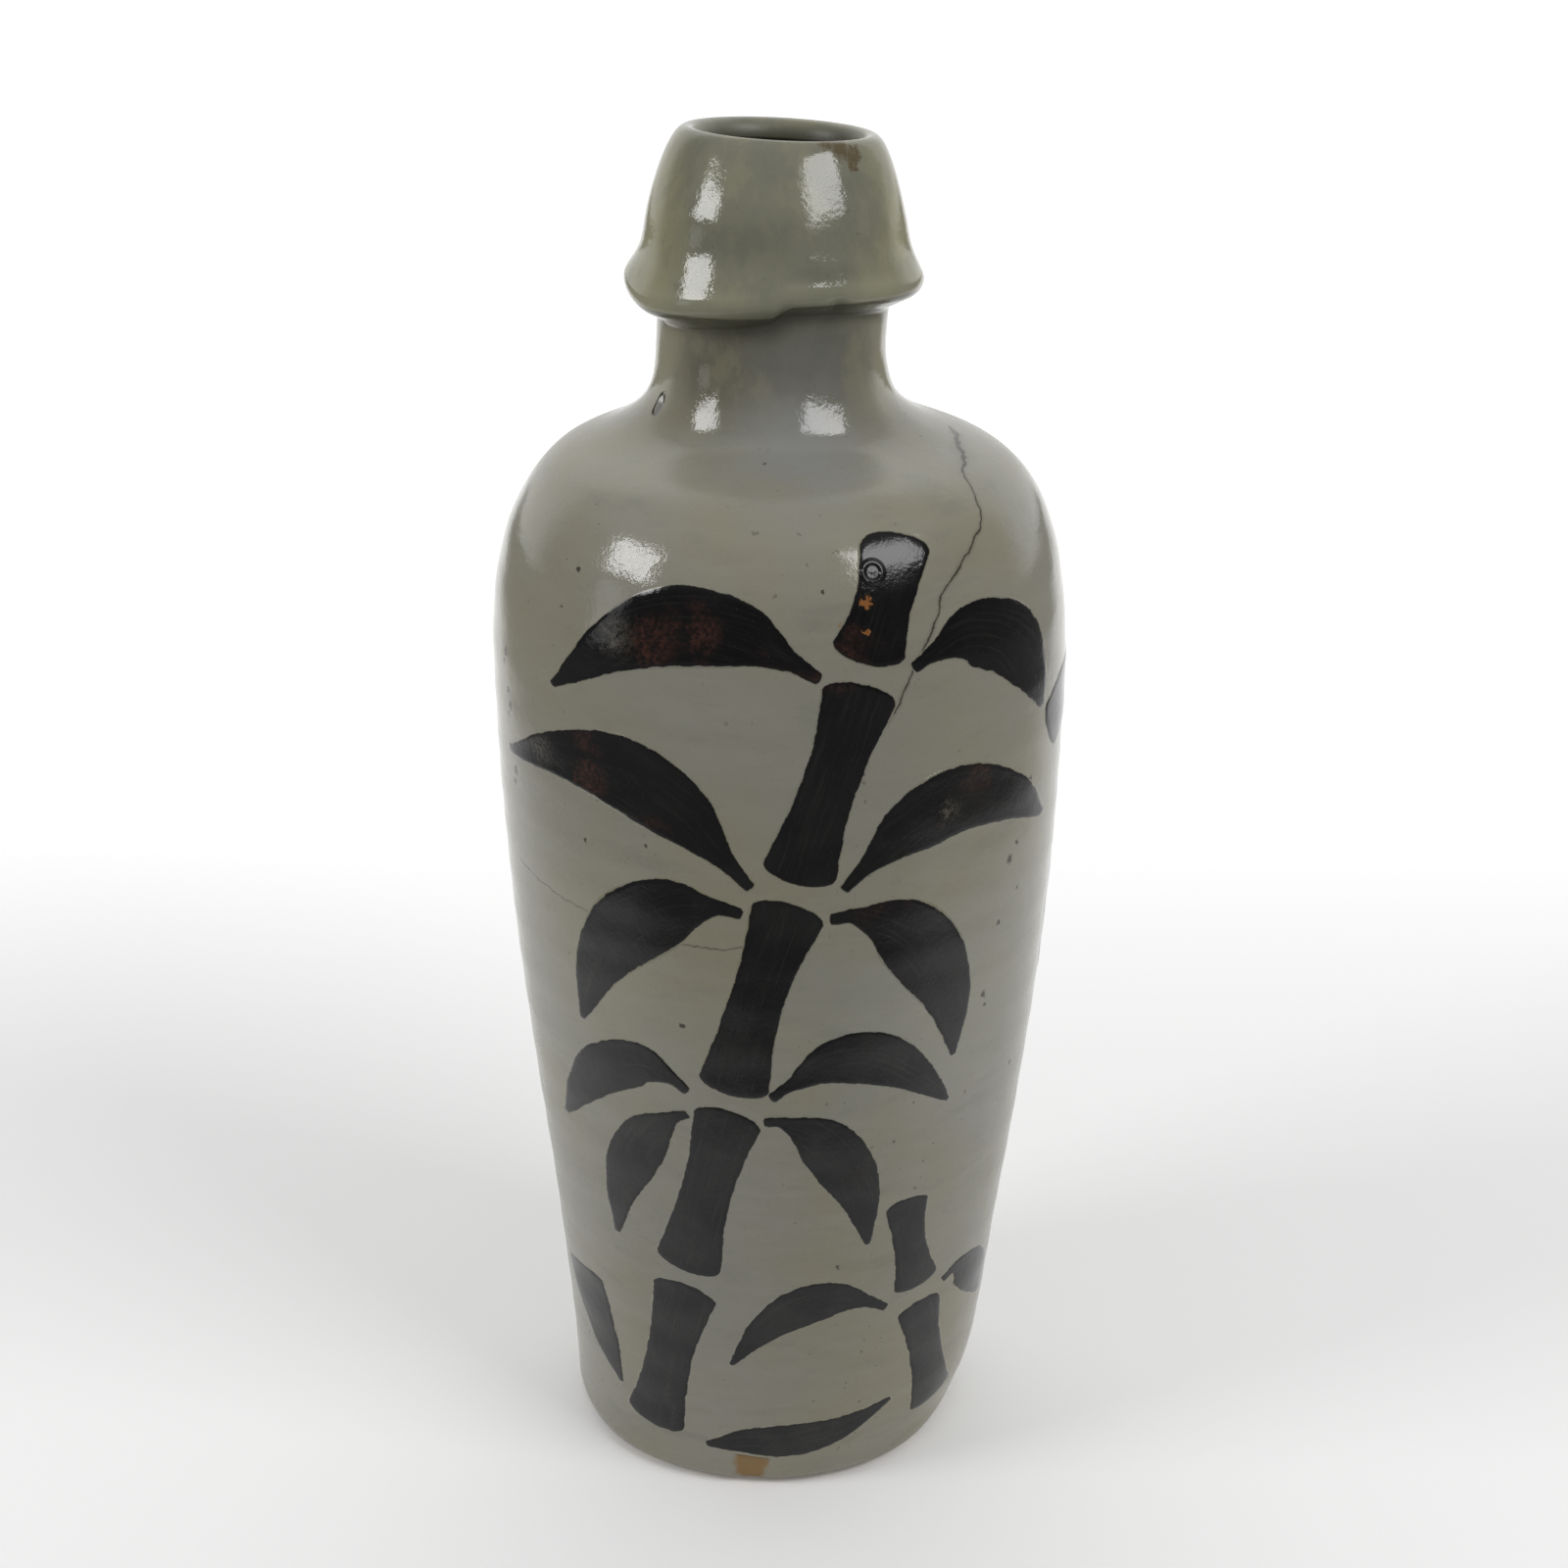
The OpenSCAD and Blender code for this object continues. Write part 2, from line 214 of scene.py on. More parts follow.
def handmade(points):
    """Moves points of the true turned shape to where a hand-thrown pot has them."""
    p = np.array(points, float)
    x, y, z = p[:, 0], p[:, 1], p[:, 2]
    r = np.hypot(x, y)
    azimuth = np.arctan2(x, -y)
    on_collar = smooth_step(z, 250, 259)

    # Throwing rings and slow swellings of the wall.
    swell = sum(np.sin(k * azimuth + q * z + phase) for k, q, phase in LUMPS) / math.sqrt(len(LUMPS))
    rings = np.sin(z * 2 * math.pi / RING_SPACING + azimuth + 1.5 * np.sin(z / 23))
    wall = smooth_step(z, 2, 20) * (1 - on_collar)
    grow = wall * (SWELL_SIZE * swell + RING_SIZE * rings)
    oval = 0.004 * np.cos(2 * azimuth + 0.8) + 0.0025 * np.cos(3 * azimuth - 0.5)
    grow += r * oval * smooth_step(r, 16.6, 24)
    for amount, at, width, level, spread in BULGES:
        grow += amount * bell(azimuth, at, width) * bell(z, level, spread)

    # The foot spreads in front.
    grow += 0.9 * smooth_step(z, 6, 1) * bell(azimuth, 0, 0.8)
    grow += 1.1 * smooth_step(z, 7, 1) * bell(np.abs(azimuth), 0.75, 0.45)

    # In front the neck spreads into the shoulder more gently than at the sides.
    facing = smooth_step(np.abs(azimuth), 1.3, 0.7)
    grow += 1.5 * facing * smooth_step(z, 249.5, 241) * smooth_step(z, 224, 236)
    dz = -2.8 * facing * bell(z, 239, 7)

    # The collar: uneven, tilted, and with one lap of clay that stops short at its lower edge.
    outer = smooth_step(r, 16.8, 22.9)
    grow += (on_collar * COLLAR_SWELL_SIZE * swell + collar_side(azimuth, z)) * outer
    at_edge = smooth_step(z, 249, 258.5) * (1 - smooth_step(z, 263, 276))
    tilt = 0.007 * smooth_step(z, 258, 266) + 0.045 * smooth_step(z, 272, 292)
    dz += collar_edge(azimuth) * at_edge * outer - tilt * x

    lean = -2.8 * np.exp(-z / 26) - 1.8 * bell(z, 250, 16) - 0.8 * bell(z, 277, 12)
    scale = (r + grow) / np.maximum(r, 1e-6)
    return np.column_stack([x * scale + lean, y * scale, z + dz])


# ---------------------------------------------------------------- meshes

def add_object(name, vertices, faces, material, node):
    mesh = bpy.data.meshes.new(name)
    mesh.from_pydata((vertices * MM).tolist(), [], faces)
    mesh.validate()
    mesh.shade_smooth()
    mesh.materials.append(material)
    piece = bpy.data.objects.new(name, mesh)
    bpy.context.collection.objects.link(piece)
    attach(piece, "root")
    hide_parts(node)
    return piece


def store(piece, label, values):
    """Keeps one number for each vertex, for the materials to read."""
    kept = piece.data.attributes.new(label, "FLOAT", "POINT")
    kept.data.foreach_set("value", np.asarray(values, np.float32))


def turned(name, profile, segments, material, node, after=None):
    """A closed solid turned from a profile. A profile that starts and ends on the axis gets poles;
    any other is a ring. The profile runs anticlockwise, outside first."""
    profile = np.asarray(profile, float)
    poles = profile[0, 0] == 0
    ring_rows = profile[1:-1] if poles else profile
    azimuths = np.arange(segments) * 2 * math.pi / segments
    rows = len(ring_rows)
    r = np.repeat(ring_rows[:, 0], segments)
    z = np.repeat(ring_rows[:, 1], segments)
    a = np.tile(azimuths, rows)
    points = np.column_stack([r * np.sin(a), -r * np.cos(a), z])
    row_pairs = rows - 1 if poles else rows
    faces = []
    for i in range(row_pairs):
        low, high = i * segments, ((i + 1) % rows) * segments
        for j in range(segments):
            k = (j + 1) % segments
            faces.append((low + j, low + k, high + k, high + j))
    if poles:
        first, last = len(points), len(points) + 1
        points = np.vstack([points, [0, 0, profile[0, 1]], [0, 0, profile[-1, 1]]])
        top = (rows - 1) * segments
        for j in range(segments):
            k = (j + 1) % segments
            faces.append((first, k, j))
            faces.append((last, top + j, top + k))
    shaped = handmade(points)
    if after is not None:
        shaped = after(points, shaped)
    piece = add_object(name, shaped, faces, material, node)
    return piece, points


def between_levels(path, low, high):
    """The part of a path between two heights, cut exactly at them."""
    kept = []
    for a, b in zip(path[:-1], path[1:]):
        for level in (low, high):
            if (a[1] - level) * (b[1] - level) < 0:
                kept.append(a + (b - a) * (level - a[1]) / (b[1] - a[1]))
        if low <= b[1] <= high:
            kept.append(b)
    if low <= path[0][1] <= high:
        kept.insert(0, path[0])
    kept = np.array(kept)
    return kept[np.argsort(kept[:, 1], kind="stable")]


# ---------------------------------------------------------------- brush strokes

# Each stroke is a row of points: x, z and half width in mm, as seen straight on from the front.
STEM = [
    [[-26.5, 14, 6.6], [-25, 25, 5.3], [-23, 38, 5.3], [-20.5, 51, 7]],
    [[-19.5, 60, 7.2], [-17, 73, 5.6], [-14, 86, 5.6], [-11, 98, 7.2]],
    [[-9.5, 107.5, 7.4], [-6.5, 121, 5.8], [-2.5, 135, 5.8], [1.5, 147, 7.6]],
    [[4, 157, 7.6], [8, 170, 5.9], [12, 182, 5.9], [15.5, 193, 7.6]],
    [[17.5, 202.5, 7.4], [19.5, 209, 6], [21, 214, 6], [22.5, 220.5, 7.2]],
]
LEAVES_UPPER = [
    [[26.5, 198, 1.2], [31, 200.5, 2.2], [38, 202.5, 6],
     [46, 199, 6.6], [51.5, 190.5, 4], [55, 181, 0.6]],
    [[7.5, 197.5, 1.2], [2, 201, 2.2], [-8, 206, 6.4],
     [-21, 206.5, 7.6], [-34, 200.5, 5], [-46, 190, 0.7]],
    [[13, 152.5, 1.2], [18, 157.5, 2.2], [26.5, 164.5, 6.6],
     [37, 168, 7.4], [48, 164, 4.8], [56, 156, 0.6]],
    [[-6, 153.5, 1.2], [-11, 159, 2.2], [-20, 168.5, 7], [-32, 175, 8], [-45, 175, 5], [-57, 170, 0.8]],
    [[10.5, 146, 1.2], [16, 146, 2.2], [24.5, 142, 6.8],
     [31, 133.5, 7.4], [35.5, 122, 4.8], [37, 108, 0.6]],
    [[-8, 147.5, 1.2], [-13.5, 148.5, 2.2], [-22, 147, 7],
     [-31, 140.5, 7.8], [-38, 129.5, 5], [-42, 115, 0.6]],
]
LEAVES_MIDDLE = [
    [[-1.5, 104.5, 1.1], [3, 108, 1.8], [11, 112.5, 5.4],
     [20, 112, 6.2], [28.5, 106, 4], [36, 97, 0.6]],
    [[-19.5, 104.5, 1.1], [-23, 107, 1.8], [-29.5, 108.5, 5.2],
     [-37, 104.5, 5.6], [-42.5, 97, 3.6], [-47, 87, 0.6]],
    [[-3, 98.5, 1.1], [1.5, 98, 1.8], [8.5, 93.5, 5.8], [14, 85.5, 6.2], [17.5, 76, 4], [19, 65, 0.6]],
    [[-19.5, 98.5, 1.1], [-23, 96.5, 1.8], [-28, 91, 5],
     [-32, 82.5, 5.4], [-34.5, 73.5, 3.4], [-35.5, 62, 0.6]],
]
SPRIG_LOWER = [
    [[36, 14, 4.8], [34.5, 24, 3.8], [32.8, 34, 3.8], [31.2, 43, 4.9]],
    [[30.2, 51, 4.9], [29, 58.5, 3.8], [28, 66, 3.8], [27.5, 72.5, 4.8]],
    [[23.5, 46.5, 1], [19, 49.5, 1.8], [12, 51.5, 4.6],
     [4, 49.5, 5.2], [-3.5, 43.5, 3.4], [-10, 34, 0.5]],
    [[37, 47.5, 0.9], [39.5, 48.5, 1.6], [42.5, 46.5, 3.8], [45, 41, 3.4], [47, 33, 0.5]],
    [[-44, 43, 4.8], [-41.5, 35, 4.4], [-38.5, 27, 3.2], [-35, 19, 0.6]],
    [[-14.5, 10.5, 0.8], [-6, 12.5, 3.4], [4, 13, 4.6], [14, 14.5, 3.6], [26, 19.5, 0.6]],
]
SPRAY_SIDE = [
    [[-46, 175, 6.6], [-38, 178.5, 7.4], [-26, 179.5, 5.6], [-14, 175, 2], [-8, 171, 1.2]],
    [[-4, 176, 1.2], [2, 181, 2.2], [11, 189, 6], [23, 195, 7], [34, 196, 4.6], [43, 193, 0.6]],
    [[-1, 165, 1.2], [5, 164, 2.2], [14, 160.5, 6.2], [24, 152.5, 7], [33, 141, 4.6], [39, 127, 0.6]],
    [[-8, 160, 1.2], [-11.5, 156.5, 2.2], [-18, 149, 6],
     [-25, 138.5, 6.8], [-30, 126.5, 4.4], [-33, 112, 0.6]],
    [[-9, 56, 5.4], [-7.5, 74, 4.4], [-6, 92, 4.4], [-5, 105, 5.6]],
    [[-4.5, 114, 5.6], [-3.5, 127, 4.4], [-2.5, 139, 4.4], [-2, 151, 5.6]],
]
# How far the spray on the side is turned around the bottle, in degrees.
SIDE_TURN = 117

# The rounding of a stroke's ends, as a share of its half width, and the least half width.
BLUNTNESS = 0.4
THINNEST = 0.3

# A pad of ink: how much higher its middle is than its edge, the level of its edge, and of its underside.
INK_H, INK_FLOAT, INK_DEPTH = 0.14, -0.02, -0.2

# How far a pad goes on around its stroke, and how many faces wide it is.
MARGIN = 0.6
ACROSS = 28

upright = body_outside[body_outside[:, 1] > 1.5]
upright_step = np.gradient(upright, axis=0)
upright_step /= np.linalg.norm(upright_step, axis=1)[:, None]


def on_wall(x, z, lift):
    """Points over the true wall, seen straight on at x and z, lifted along its normal."""
    radius = np.interp(z, upright[:, 1], upright[:, 0])
    out_r = np.interp(z, upright[:, 1], upright_step[:, 1])
    out_z = -np.interp(z, upright[:, 1], upright_step[:, 0])
    y = -np.sqrt(np.maximum(radius**2 - x**2, 0))
    outward = lift * out_r / radius
    return np.column_stack([x + outward * x, y + outward * y, z + lift * out_z])


def stroke_line(points, spread=0.0, steps=14):
    """Smooth centre line of a stroke with its half width, both ends rounded, and its direction."""
    p = np.array(points, float)
    p = np.vstack([2 * p[0] - p[1], p, 2 * p[-1] - p[-2]])
    rows = []
    for a, b, c, d in zip(p[:-3], p[1:-2], p[2:-1], p[3:]):
        for t in np.arange(steps) / steps:
            rows.append((2 * b + (c - a) * t + (2 * a - 5 * b + 4 * c - d) * t * t
                         + (3 * b - a - 3 * c + d) * t**3) / 2)
    rows.append(p[-2])
    rows = np.array(rows)
    rows[:, 2] = np.maximum(rows[:, 2], THINNEST)
    ahead = np.gradient(rows[:, :2], axis=0)
    ahead /= np.linalg.norm(ahead, axis=1)[:, None]
    ends = np.radians([12, 24, 36, 48, 60, 71, 81])
    first, last = [], []
    for e in ends:
        for row, direction, end in ((rows[0], -ahead[0], first), (rows[-1], ahead[-1], last)):
            reach = (BLUNTNESS * row[2] + spread) * math.sin(e)
            end.append([*(row[:2] + reach * direction), (row[2] + spread) * math.cos(e) - spread])
    ahead = np.pad(ahead, ((len(ends), len(ends)), (0, 0)), "edge")
    return np.vstack([first[::-1], rows, last]), ahead


def outline_distance(x, z, control):
    """How far points are inside the outline of a stroke, in mm; negative outside it."""
    rows, ahead = stroke_line(control)
    side = np.column_stack([-ahead[:, 1], ahead[:, 0]]) * rows[:, 2:3]
    edge = np.vstack([rows[:, :2] + side, rows[::-1, :2] - side[::-1]])
    a, b = edge, np.roll(edge, -1, axis=0)
    along = b - a
    point = np.column_stack([x, z])[:, None, :]
    t = np.clip(np.sum((point - a) * along, axis=2) / np.maximum(np.sum(along**2, axis=1), 1e-9), 0, 1)
    distance = np.linalg.norm(point - a - t[:, :, None] * along, axis=2).min(axis=1)
    above = (a[:, 1] > z[:, None]) != (b[:, 1] > z[:, None])
    rise = np.where(along[:, 1] == 0, 1e-9, along[:, 1])
    crossing = a[:, 0] + (z[:, None] - a[:, 1]) * along[:, 0] / rise
    inside_it = np.sum(above & (x[:, None] < crossing), axis=1) % 2 == 1
    return np.where(inside_it, distance, -distance)


def brush_group(name, strokes, material, node, side_turn=0):
    """One piece from a group of strokes: thin pads of pigment that sink into the glaze at their edges."""
    points, faces, along, across, seed, inside_by = [], [], [], [], [], []
    for number, control in enumerate(strokes):
        rows, ahead = stroke_line(control, MARGIN)
        count = len(rows)
        steps = np.linalg.norm(np.diff(rows[:, :2], axis=0), axis=1)
        length = np.concatenate([[0], np.cumsum(steps)])
        s = np.linspace(-1, 1, ACROSS + 1)
        grid_x, grid_z = [], []
        for (x, z, w), direction in zip(rows, ahead):
            normal = left_of(direction)
            grid_x.append(x - (w + MARGIN) * s * normal[0])
            grid_z.append(z - (w + MARGIN) * s * normal[1])
        x = np.concatenate(grid_x)
        z = np.concatenate(grid_z)
        depth = outline_distance(x, z, control)
        top = on_wall(x, z, INK_H * smooth_step(depth, -0.35, 0.5) + INK_FLOAT)
        under = on_wall(x, z, np.full(len(x), INK_DEPTH))
        start = sum(len(block) for block in points)
        points.extend([top, under])
        n = ACROSS + 1
        size = len(x)
        for i in range(count - 1):
            for j in range(ACROSS):
                a, b = start + i * n + j, start + (i + 1) * n + j
                faces.append((a, a + 1, b + 1, b))
                faces.append((a + size, b + size, b + size + 1, a + size + 1))
            a, b = start + i * n, start + (i + 1) * n
            faces.append((a, b, b + size, a + size))
            a, b = a + ACROSS, b + ACROSS
            faces.append((a, a + size, b + size, b))
        for j in range(ACROSS):
            a = start + j
            faces.append((a, a + size, a + size + 1, a + 1))
            a = start + (count - 1) * n + j
            faces.append((a, a + 1, a + size + 1, a + size))
        wide = np.repeat(rows[:, 2] + MARGIN, n) * np.tile(s, count)
        along.extend(np.tile(np.repeat(length, n), 2))
        across.extend(np.tile(wide, 2))
        inside_by.extend(np.tile(depth, 2))
        seed.extend(np.full(2 * size, float(number) + 0.37 * len(name)))
    points = np.vstack(points)
    angle = math.radians(side_turn)
    x = points[:, 0] * math.cos(angle) - points[:, 1] * math.sin(angle)
    y = points[:, 0] * math.sin(angle) + points[:, 1] * math.cos(angle)
    points = np.column_stack([x, y, points[:, 2]])
    piece = add_object(name, handmade(points), faces, material, node)
    store(piece, "along", along)
    store(piece, "across", across)
    store(piece, "seed", seed)
    store(piece, "inside_by", inside_by)
    return piece


# ---------------------------------------------------------------- materials

class Graph:
    """A material's node tree, with short names for the nodes it is built from."""

    def __init__(self, name):
        self.material = bpy.data.materials.new(name)
        self.material.use_nodes = True
        self.tree = self.material.node_tree
        self.tree.nodes.clear()
        self.position = self.add("ShaderNodeTexCoord").outputs["Object"]

    def add(self, kind, settings=None, **inputs):
        node = self.tree.nodes.new(kind)
        for key, value in (settings or {}).items():
            setattr(node, key, value)
        for key, value in inputs.items():
            self.feed(node.inputs[key.replace("_", " ")], value)
        return node

    def feed(self, socket, value):
        if isinstance(value, bpy.types.NodeSocket):
            self.tree.links.new(value, socket)
        elif isinstance(value, (tuple, list)) and len(value) == 3 and socket.type == "RGBA":
            socket.default_value = (*value, 1)
        else:
            socket.default_value = value

    def split(self):
        return self.add("ShaderNodeSeparateXYZ", Vector=self.position).outputs

    def math(self, operation, a, b=0.0):
        node = self.add("ShaderNodeMath", {"operation": operation})
        self.feed(node.inputs[0], a)
        self.feed(node.inputs[1], b)
        return node.outputs[0]

    def times(self, a, b):
        return self.math("MULTIPLY", a, b)

    def centred(self, value, size):
        """A value around a half, moved to lie around zero and scaled."""
        return self.times(self.math("SUBTRACT", value, 0.5), size)

    def vector(self, operation, a, b=(0, 0, 0)):
        node = self.add("ShaderNodeVectorMath", {"operation": operation})
        self.feed(node.inputs[0], a)
        if operation == "SCALE":
            self.feed(node.inputs["Scale"], b)
        else:
            self.feed(node.inputs[1], b)
        return node.outputs["Value" if operation in ("DISTANCE", "LENGTH") else "Vector"]

    def mix(self, factor, a, b):
        node = self.add("ShaderNodeMix", {"data_type": "RGBA"})
        self.feed(node.inputs["Factor"], factor)
        self.feed(node.inputs[6], a)
        self.feed(node.inputs[7], b)
        return node.outputs[2]

    def tint(self, colour, mask, strength, towards):
        """The colour, mixed towards another where the mask is."""
        return self.mix(self.times(mask, strength), colour, towards)

    def map(self, value, low, high, to_low=0.0, to_high=1.0):
        """A smooth ramp. It may run down, with low above high."""
        node = self.add("ShaderNodeMapRange", {"interpolation_type": "SMOOTHSTEP"})
        for socket, number in zip(node.inputs, (value, low, high, to_low, to_high)):
            self.feed(socket, number)
        return node.outputs[0]

    def band(self, value, rise, fall):
        """A mask between two ramps, each given by its two ends."""
        return self.times(self.map(value, *rise), self.map(value, *fall))

    def noise(self, scale, detail=3.0, rough=0.5, at=None, output="Fac"):
        node = self.add("ShaderNodeTexNoise", Vector=self.position if at is None else at,
                        Scale=scale, Detail=detail, Roughness=rough)
        return node.outputs[output]

    def stretched(self, factors, at=None):
        return self.vector("MULTIPLY", self.position if at is None else at, factors)

    def shifted(self, by):
        return self.vector("ADD", self.position, by)

    def attribute(self, name):
        return self.add("ShaderNodeAttribute", {"attribute_name": name}).outputs["Fac"]

    def bump(self, height, distance, normal=None):
        node = self.add("ShaderNodeBump", Height=height)
        node.inputs["Strength"].default_value = 1.0
        node.inputs["Distance"].default_value = distance
        if normal is not None:
            self.feed(node.inputs["Normal"], normal)
        return node.outputs[0]

    def finish(self, colour, roughness, normal=None, more=None, **numbers):
        shader = self.add("ShaderNodeBsdfPrincipled")
        for key, value in (more or {}).items():
            self.feed(shader.inputs[key], value)
        self.feed(shader.inputs["Base Color"], colour)
        self.feed(shader.inputs["Roughness"], roughness)
        if normal is not None:
            self.feed(shader.inputs["Normal"], normal)
        for key, value in numbers.items():
            shader.inputs[key.replace("_", " ")].default_value = value
        output = self.add("ShaderNodeOutputMaterial")
        self.tree.links.new(shader.outputs[0], output.inputs[0])
        return self.material


def srgb(*levels):
    """Linear colour from the three 0 to 255 values a person reads off a screen."""
    shares = [level / 255 for level in levels]
    return tuple(c / 12.92 if c <= 0.04045 else ((c + 0.055) / 1.055) ** 2.4 for c in shares)


GLAZE_IOR = 1.5
GLAZE_GREY = srgb(143, 141, 129)
GLAZE_OLIVE = srgb(141, 137, 114)
GLAZE_BLUE = srgb(140, 140, 134)
GLAZE_SMUDGE = srgb(104, 108, 106)
GLAZE_DARK = srgb(118, 115, 101)
GLAZE_WIPED = srgb(162, 160, 150)
GLAZE_GRAIN = srgb(158, 156, 146)
GLAZE_PEPPER = srgb(66, 60, 49)
GLAZE_PAINTED_LIGHT_BELLY = srgb(172, 169, 154)
GLAZE_PAINTED_SHADE_FOOT = srgb(112, 108, 94)
NECK_ROOT_PAINTED_REFLECTION = srgb(146, 147, 149)
COLLAR_SIDE_OLIVE_AND_PAINTED_LIGHT = srgb(160, 156, 116)
COLLAR_FRONT_PAINTED_SHADE = srgb(127, 127, 110)
COLLAR_UNDER_PAINTED_LIGHT = srgb(164, 163, 140)
NECK_PAINTED_LIGHT = srgb(166, 162, 138)
NECK_PAINTED_SHADOW = srgb(108, 106, 92)
CLOUD_DARK = srgb(98, 102, 93)
CLOUD_PALE = srgb(160, 156, 126)
SEAM_SHADE = srgb(72, 70, 57)
THROAT_SHADE = srgb(72, 71, 57)
LINING_SHADE = srgb(88, 87, 70)
BARE_CLAY = srgb(134, 108, 70)
RIM_STAIN = srgb(96, 80, 52)
PAINTED_GLINT = srgb(190, 190, 182)
PINHOLE = srgb(50, 45, 38)
GLAZE_OCHRE = srgb(150, 112, 66)
HAIRLINE = srgb(58, 54, 45)
CHIP_OUTLINE = srgb(56, 54, 46)
CHIP_PAINTED_SHADE = srgb(112, 110, 98)
CHIP_PAINTED_HIGHLIGHT = srgb(214, 213, 204)

INK_IOR = 1.42
INK_HIGH, INK_HIGH_POOL = srgb(9, 9, 10), srgb(18, 18, 18)
INK_LOW, INK_LOW_POOL = srgb(14, 15, 15), srgb(34, 35, 33)
INK_THIN = srgb(54, 54, 50)
INK_SPECKLE = srgb(56, 56, 52)
INK_EDGE = srgb(14, 14, 13)
RUST_DARK, RUST_PALE = srgb(46, 28, 24), srgb(82, 50, 41)
MILKY = srgb(104, 98, 88)
INK_OCHRE = srgb(150, 98, 54)
CLAY_GRIT = srgb(58, 46, 34)

# Marks on the surface: azimuth in degrees, height in mm, radius in mm.
STAINS = [(27, 294.6, 2.2), (36, 293.8, 3), (45, 292.6, 2.8), (42, 290.6, 1.8)]
# Painted glints: small pale spots on the collar that stand in for light caught by tiny chips.
PAINTED_GLINT_SPOTS = [(25, 267, 0.7), (28, 267.6, 0.5), (26.5, 269, 0.4)]
GLAZE_OCHRES = [(11.5, 207.6, 1.2), (12.5, 205, 0.7)]
INK_OCHRES = [(16.5, 211.5, 1.5), (16, 206, 0.8)]
RUSTS = [(-24, 203, 7), (-14, 206, 5), (-38, 172, 6)]
MILKS = [(-32, 203, 6), (34, 166, 4), (-52, 175, 6)]
PINHOLES = [
    (-67, 191, 1.2), (-68, 189, 1.0), (-66, 183, 1.2), (-65, 180, 1.3), (-66, 178, 0.9), (-64, 166, 1.4),
    (-65, 163, 1.0), (-40, 158, 0.7), (-26, 165, 0.7), (-26, 160, 0.6),
    (52, 150, 1.3), (54, 153, 0.8), (50, 136, 0.8), (47, 120, 1.2), (48, 117, 0.7), (56, 142, 0.6),
    (58, 166, 0.8), (38, 205, 0.5), (-4, 236, 0.6), (-44, 214, 0.7), (-47, 206, 0.5),
    (8, 214, 0.5), (-20, 120, 0.7), (14, 60, 0.6), (-38, 70, 0.5), (64, 96, 0.8),
    (105, 190, 0.9), (150, 120, 1.0), (200, 160, 0.7), (235, 90, 0.9), (180, 60, 0.8), (270, 200, 0.7),
]
CHIP_AT = (-62, 241.5)
BLISTER_AT = (18.5, 217)

# The hairlines: vertex attribute, half width in mm, strength.
HAIRLINES = [("hairline_right", 0.3, 0.9), ("hairline_left", 0.18, 0.6)]

up_to_rim = outside[:-RIM_ROWS]


def place(azimuth, z):
    """A point on the finished outside, in metres, at an azimuth in degrees and a height in mm."""
    radius = np.interp(z, up_to_rim[:, 1], up_to_rim[:, 0])
    a = math.radians(azimuth)
    return tuple(handmade([[radius * math.sin(a), -radius * math.cos(a), z]])[0] * MM)


def spots(g, marks, ragged, soft):
    """Mask of small round marks. Each mark is (azimuth, height, radius), in degrees and mm."""
    stray = g.vector("SUBTRACT", g.noise(900, 2, output="Color"), (0.5, 0.5, 0.5))
    moved = g.vector("ADD", g.position, g.vector("SCALE", stray, ragged * 0.004))
    total = 0.0
    for azimuth, z, radius in marks:
        distance = g.vector("DISTANCE", moved, place(azimuth, z))
        total = g.math("MAXIMUM", total, g.map(distance, radius * MM, radius * MM * (1 - soft)))
    return total


def glaze_colour(g):
    """Grey-olive ash glaze: clouds of olive and blue-grey, wiped smears, thin places, iron specks."""
    cloud = g.noise(20, 4, 0.55, g.stretched((1, 1, 0.7)))
    colour = g.mix(g.map(cloud, 0.38, 0.66), GLAZE_GREY, GLAZE_OLIVE)
    drift = g.noise(26, 3, 0.6, g.shifted((3, 1, 2)))
    colour = g.tint(colour, g.map(drift, 0.48, 0.72), 0.55, GLAZE_BLUE)
    smudge = g.noise(48, 3, 0.6, g.stretched((1, 1, 3), g.shifted((6, 3, 1))))
    colour = g.tint(colour, g.map(smudge, 0.56, 0.72), 0.3, GLAZE_SMUDGE)
    smear = g.noise(55, 4, 0.65, g.stretched((1, 1, 3.5)))
    colour = g.tint(colour, g.map(smear, 0.5, 0.8), 0.4, GLAZE_DARK)
    wiped = g.noise(30, 4, 0.65, g.stretched((1, 1, 6), g.shifted((1, 4, 2))))
    colour = g.tint(colour, g.map(wiped, 0.4, 0.75), 0.22, GLAZE_WIPED)
    grain = g.noise(1400, 2, 0.6)
    colour = g.tint(colour, g.map(grain, 0.35, 0.75), 0.14, GLAZE_GRAIN)
    pepper = g.map(g.noise(640, 1, 0.4), 0.73, 0.79)
    peppered = g.map(g.noise(30, 2, at=g.shifted((2, 2, 9))), 0.42, 0.6, 0.1, 0.6)
    return g.tint(colour, pepper, peppered, GLAZE_PEPPER)


def glaze_relief(g):
    """Orange-peel of a fired glaze over the soft ridges of the clay."""
    peel = g.times(g.noise(260, 2, 0.5), 0.34)
    fine = g.times(g.noise(1150, 2, 0.6), 0.24)
    ridge = g.times(g.noise(75, 2, 0.5, g.stretched((1, 1, 2.2))), 0.6)
    return g.bump(g.math("ADD", g.math("ADD", peel, fine), ridge), 0.00016)


